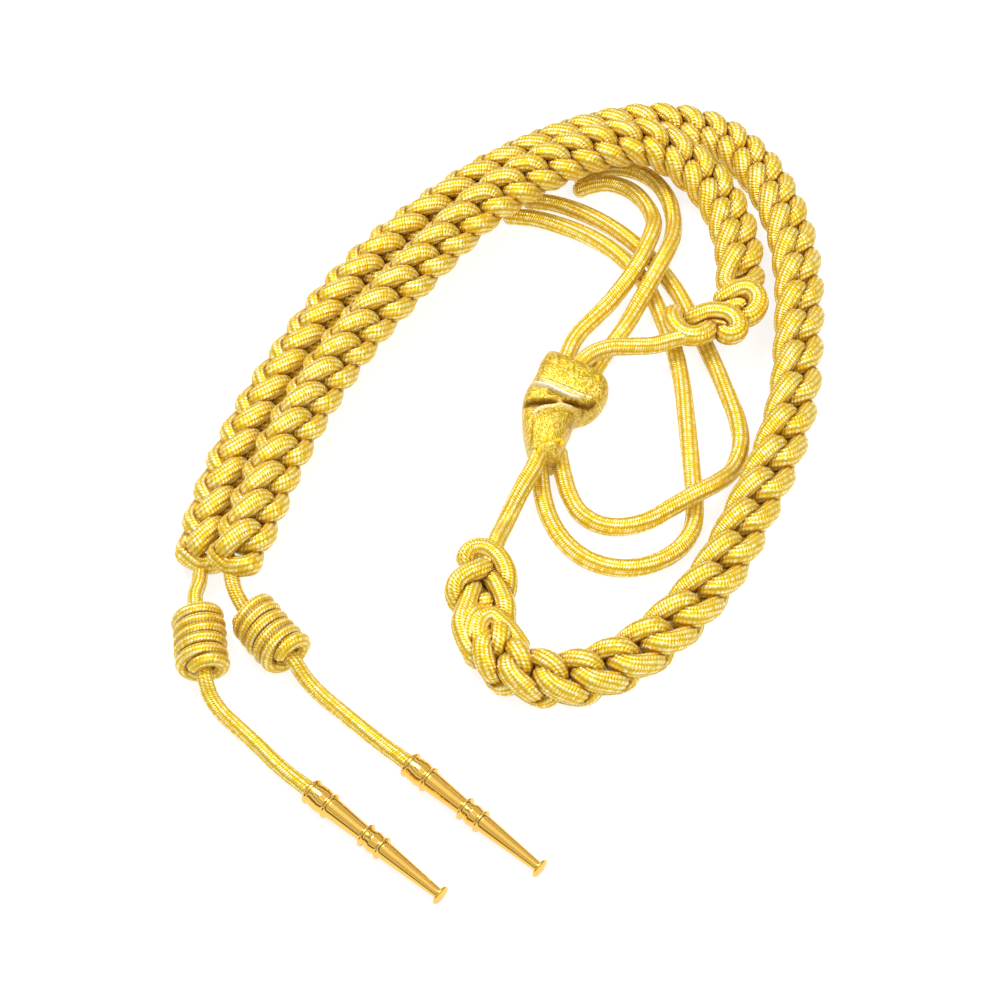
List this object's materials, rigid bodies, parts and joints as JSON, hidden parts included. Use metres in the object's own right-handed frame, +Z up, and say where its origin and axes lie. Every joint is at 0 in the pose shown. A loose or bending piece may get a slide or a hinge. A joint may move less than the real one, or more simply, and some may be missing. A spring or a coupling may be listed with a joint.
{
  "type": "aiguillette",
  "caption": "Gold shoulder aiguillette: two plaited cords, plain looped cords gathered in a folded ribbon tab, barrel knots and turned metal tags, laid flat.",
  "frame": {"origin": "on the surface, under the middle of the box of the plaits, knots, tab and tags", "axes": "+Z up from the surface, +Y from the tags towards the top of the plaits, +X to the right as the object is seen"},
  "size_m": [0.2439, 0.3602, 0.0296],
  "materials": {
    "gold_cord": "ribbed gold gimp, satin sheen",
    "gold_lace": "woven metal lace, glittering",
    "gilt_brass": "polished gilt"
  },
  "bodies": {
    "root": {"long_plait": "gold_cord", "short_plait": "gold_cord", "long_plait_knot": "gold_cord", "short_plait_knot": "gold_cord", "shoulder_tab": "gold_lace", "arc_cord_outer": "gold_cord", "arc_cord_inner": "gold_cord", "loop_cord_outer": "gold_cord", "loop_cord_inner": "gold_cord", "long_link_cord": "gold_cord", "short_link_cord": "gold_cord", "tag_cord_left": "gold_cord", "tag_cord_right": "gold_cord", "barrel_knot_left": "gold_cord", "barrel_knot_right": "gold_cord", "tag_left": "gilt_brass", "tag_right": "gilt_brass"}
  },
  "joints": []
}
